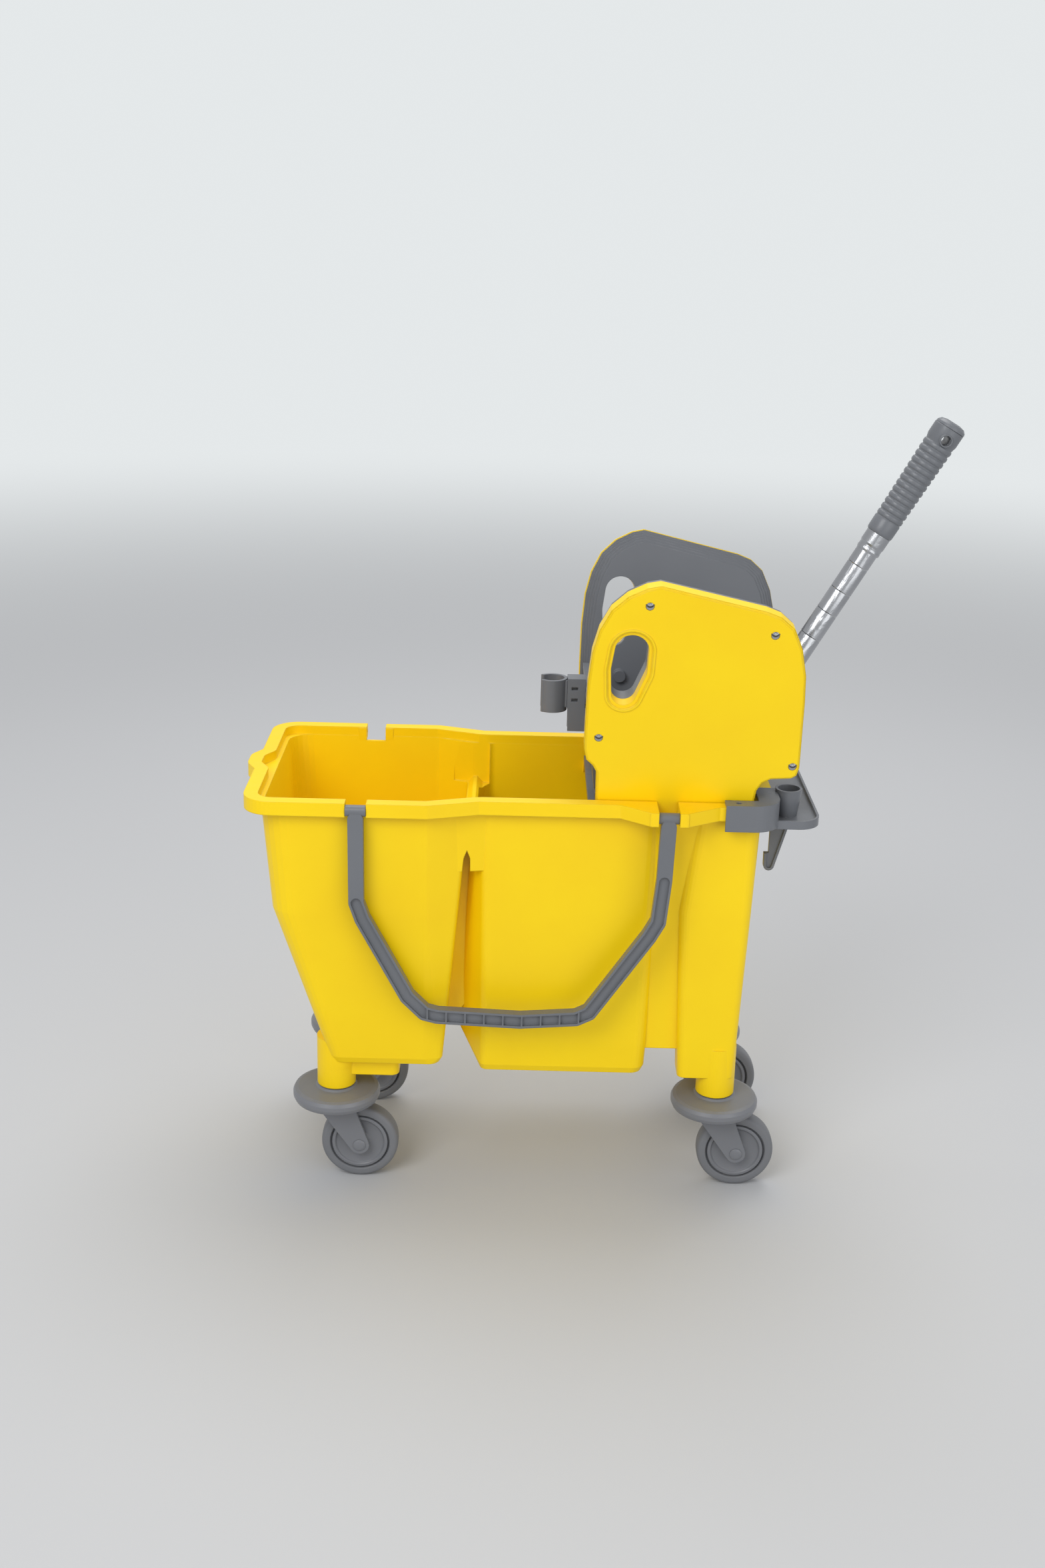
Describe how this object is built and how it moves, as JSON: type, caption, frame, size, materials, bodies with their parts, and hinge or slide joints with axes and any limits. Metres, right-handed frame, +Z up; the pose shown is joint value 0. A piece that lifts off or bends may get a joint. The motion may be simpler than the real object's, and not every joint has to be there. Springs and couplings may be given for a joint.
{
  "type": "mop bucket with wringer",
  "caption": "Yellow two-well mop bucket on swivel casters with a lever-driven press wringer, carrying bail, mop clip and rear shelf.",
  "frame": {"origin": "on the floor, under the centre of the overall outline", "axes": "+Z up; +X along the bucket from the pouring spout to the wringer end; -Y is the side with the carrying bail"},
  "size_m": [0.652, 0.2632, 0.7412],
  "materials": {
    "yellow_plastic": "satin moulded polypropylene",
    "grey_plastic": "satin moulded",
    "dark_nylon": "matte nylon",
    "caster_grey": "satin moulded nylon",
    "wheel_grey": "satin moulded",
    "tyre_grey": "thermoplastic rubber",
    "lever_metal": "bright drawn tube",
    "steel": "zinc plated"
  },
  "bodies": {
    "bucket_and_wringer": {"bucket": "yellow_plastic", "bail_pins": "steel", "caster_bushes": "dark_nylon", "rear_shelf": "grey_plastic", "wringer_base": "grey_plastic", "shell_near": "grey_plastic", "shell_far": "grey_plastic", "cover_near": "yellow_plastic", "cover_far": "yellow_plastic", "cover_screws": "steel", "front_plate": "grey_plastic", "clip_bracket": "grey_plastic", "mop_clip": "grey_plastic", "clip_rivets": "steel", "tie_rods": "steel", "shaft_bushes": "dark_nylon", "idler_pins": "steel", "rack_guides": "dark_nylon", "return_spring": "steel"},
    "lever": {"cross_shaft": "steel", "lever_hub": "grey_plastic", "hub_pin": "steel", "lever_tube": "lever_metal", "tube_collar": "lever_metal", "grip": "grey_plastic", "grip_cap": "grey_plastic", "sectors": "dark_nylon", "shaft_clips": "steel"},
    "press_carriage": {"press_plate": "grey_plastic", "racks": "dark_nylon", "rack_screws": "steel"},
    "idler_near_body": {"idler_near": "dark_nylon"},
    "idler_far_body": {"idler_far": "dark_nylon"},
    "bail_body": {"bail": "grey_plastic"},
    "caster_fn": {"stem_fn": "steel", "yoke_fn": "caster_grey", "axle_fn": "steel"},
    "wheel_fn": {"hub_fn": "wheel_grey", "tyre_fn": "tyre_grey"},
    "caster_ff": {"stem_ff": "steel", "yoke_ff": "caster_grey", "axle_ff": "steel"},
    "wheel_ff": {"hub_ff": "wheel_grey", "tyre_ff": "tyre_grey"},
    "caster_rn": {"stem_rn": "steel", "yoke_rn": "caster_grey", "axle_rn": "steel"},
    "wheel_rn": {"hub_rn": "wheel_grey", "tyre_rn": "tyre_grey"},
    "caster_rf": {"stem_rf": "steel", "yoke_rf": "caster_grey", "axle_rf": "steel"},
    "wheel_rf": {"hub_rf": "wheel_grey", "tyre_rf": "tyre_grey"}
  },
  "joints": [
    {"name": "lever_press", "type": "hinge", "parent": "bucket_and_wringer", "child": "lever", "pos_m": [0.15, 0, 0.445], "axis": [0, 1, 0], "range_deg": [0, 46], "stiffness_Nm_per_rad": 1, "springref_deg": -68.75},
    {"name": "press_slide", "type": "slide", "parent": "bucket_and_wringer", "child": "press_carriage", "axis": [-1, 0, 0], "range_m": [0, 0.0402]},
    {"name": "idler_near_spin", "type": "hinge", "parent": "bucket_and_wringer", "child": "idler_near_body", "pos_m": [0.10661, -0.0935, 0.49671], "axis": [0, 1, 0], "range_deg": [-131.5, 0]},
    {"name": "idler_far_spin", "type": "hinge", "parent": "bucket_and_wringer", "child": "idler_far_body", "pos_m": [0.10661, 0.0935, 0.49671], "axis": [0, 1, 0], "range_deg": [-131.5, 0]},
    {"name": "bail_swing", "type": "hinge", "parent": "bucket_and_wringer", "child": "bail_body", "pos_m": [-0.073, -0.1205, 0.3945], "axis": [-1, 0, 0], "range_deg": [0, 165]},
    {"name": "swivel_fn", "type": "hinge", "parent": "bucket_and_wringer", "child": "caster_fn", "pos_m": [-0.237, -0.076, 0.1], "axis": [0, 0, 1], "continuous": true},
    {"name": "roll_fn", "type": "hinge", "parent": "caster_fn", "child": "wheel_fn", "pos_m": [-0.214, -0.076, 0.0375], "axis": [0, 1, 0], "continuous": true},
    {"name": "swivel_ff", "type": "hinge", "parent": "bucket_and_wringer", "child": "caster_ff", "pos_m": [-0.237, 0.076, 0.1], "axis": [0, 0, 1], "continuous": true},
    {"name": "roll_ff", "type": "hinge", "parent": "caster_ff", "child": "wheel_ff", "pos_m": [-0.214, 0.076, 0.0375], "axis": [0, 1, 0], "continuous": true},
    {"name": "swivel_rn", "type": "hinge", "parent": "bucket_and_wringer", "child": "caster_rn", "pos_m": [0.1305, -0.076, 0.1], "axis": [0, 0, 1], "continuous": true},
    {"name": "roll_rn", "type": "hinge", "parent": "caster_rn", "child": "wheel_rn", "pos_m": [0.1535, -0.076, 0.0375], "axis": [0, 1, 0], "continuous": true},
    {"name": "swivel_rf", "type": "hinge", "parent": "bucket_and_wringer", "child": "caster_rf", "pos_m": [0.1305, 0.076, 0.1], "axis": [0, 0, 1], "continuous": true},
    {"name": "roll_rf", "type": "hinge", "parent": "caster_rf", "child": "wheel_rf", "pos_m": [0.1535, 0.076, 0.0375], "axis": [0, 1, 0], "continuous": true}
  ],
  "couplings": [
    {"joint": "press_slide", "follows": "lever_press", "m_per_rad": 0.05},
    {"joint": "idler_near_spin", "follows": "lever_press", "ratio": -2.8571},
    {"joint": "idler_far_spin", "follows": "lever_press", "ratio": -2.8571}
  ]
}
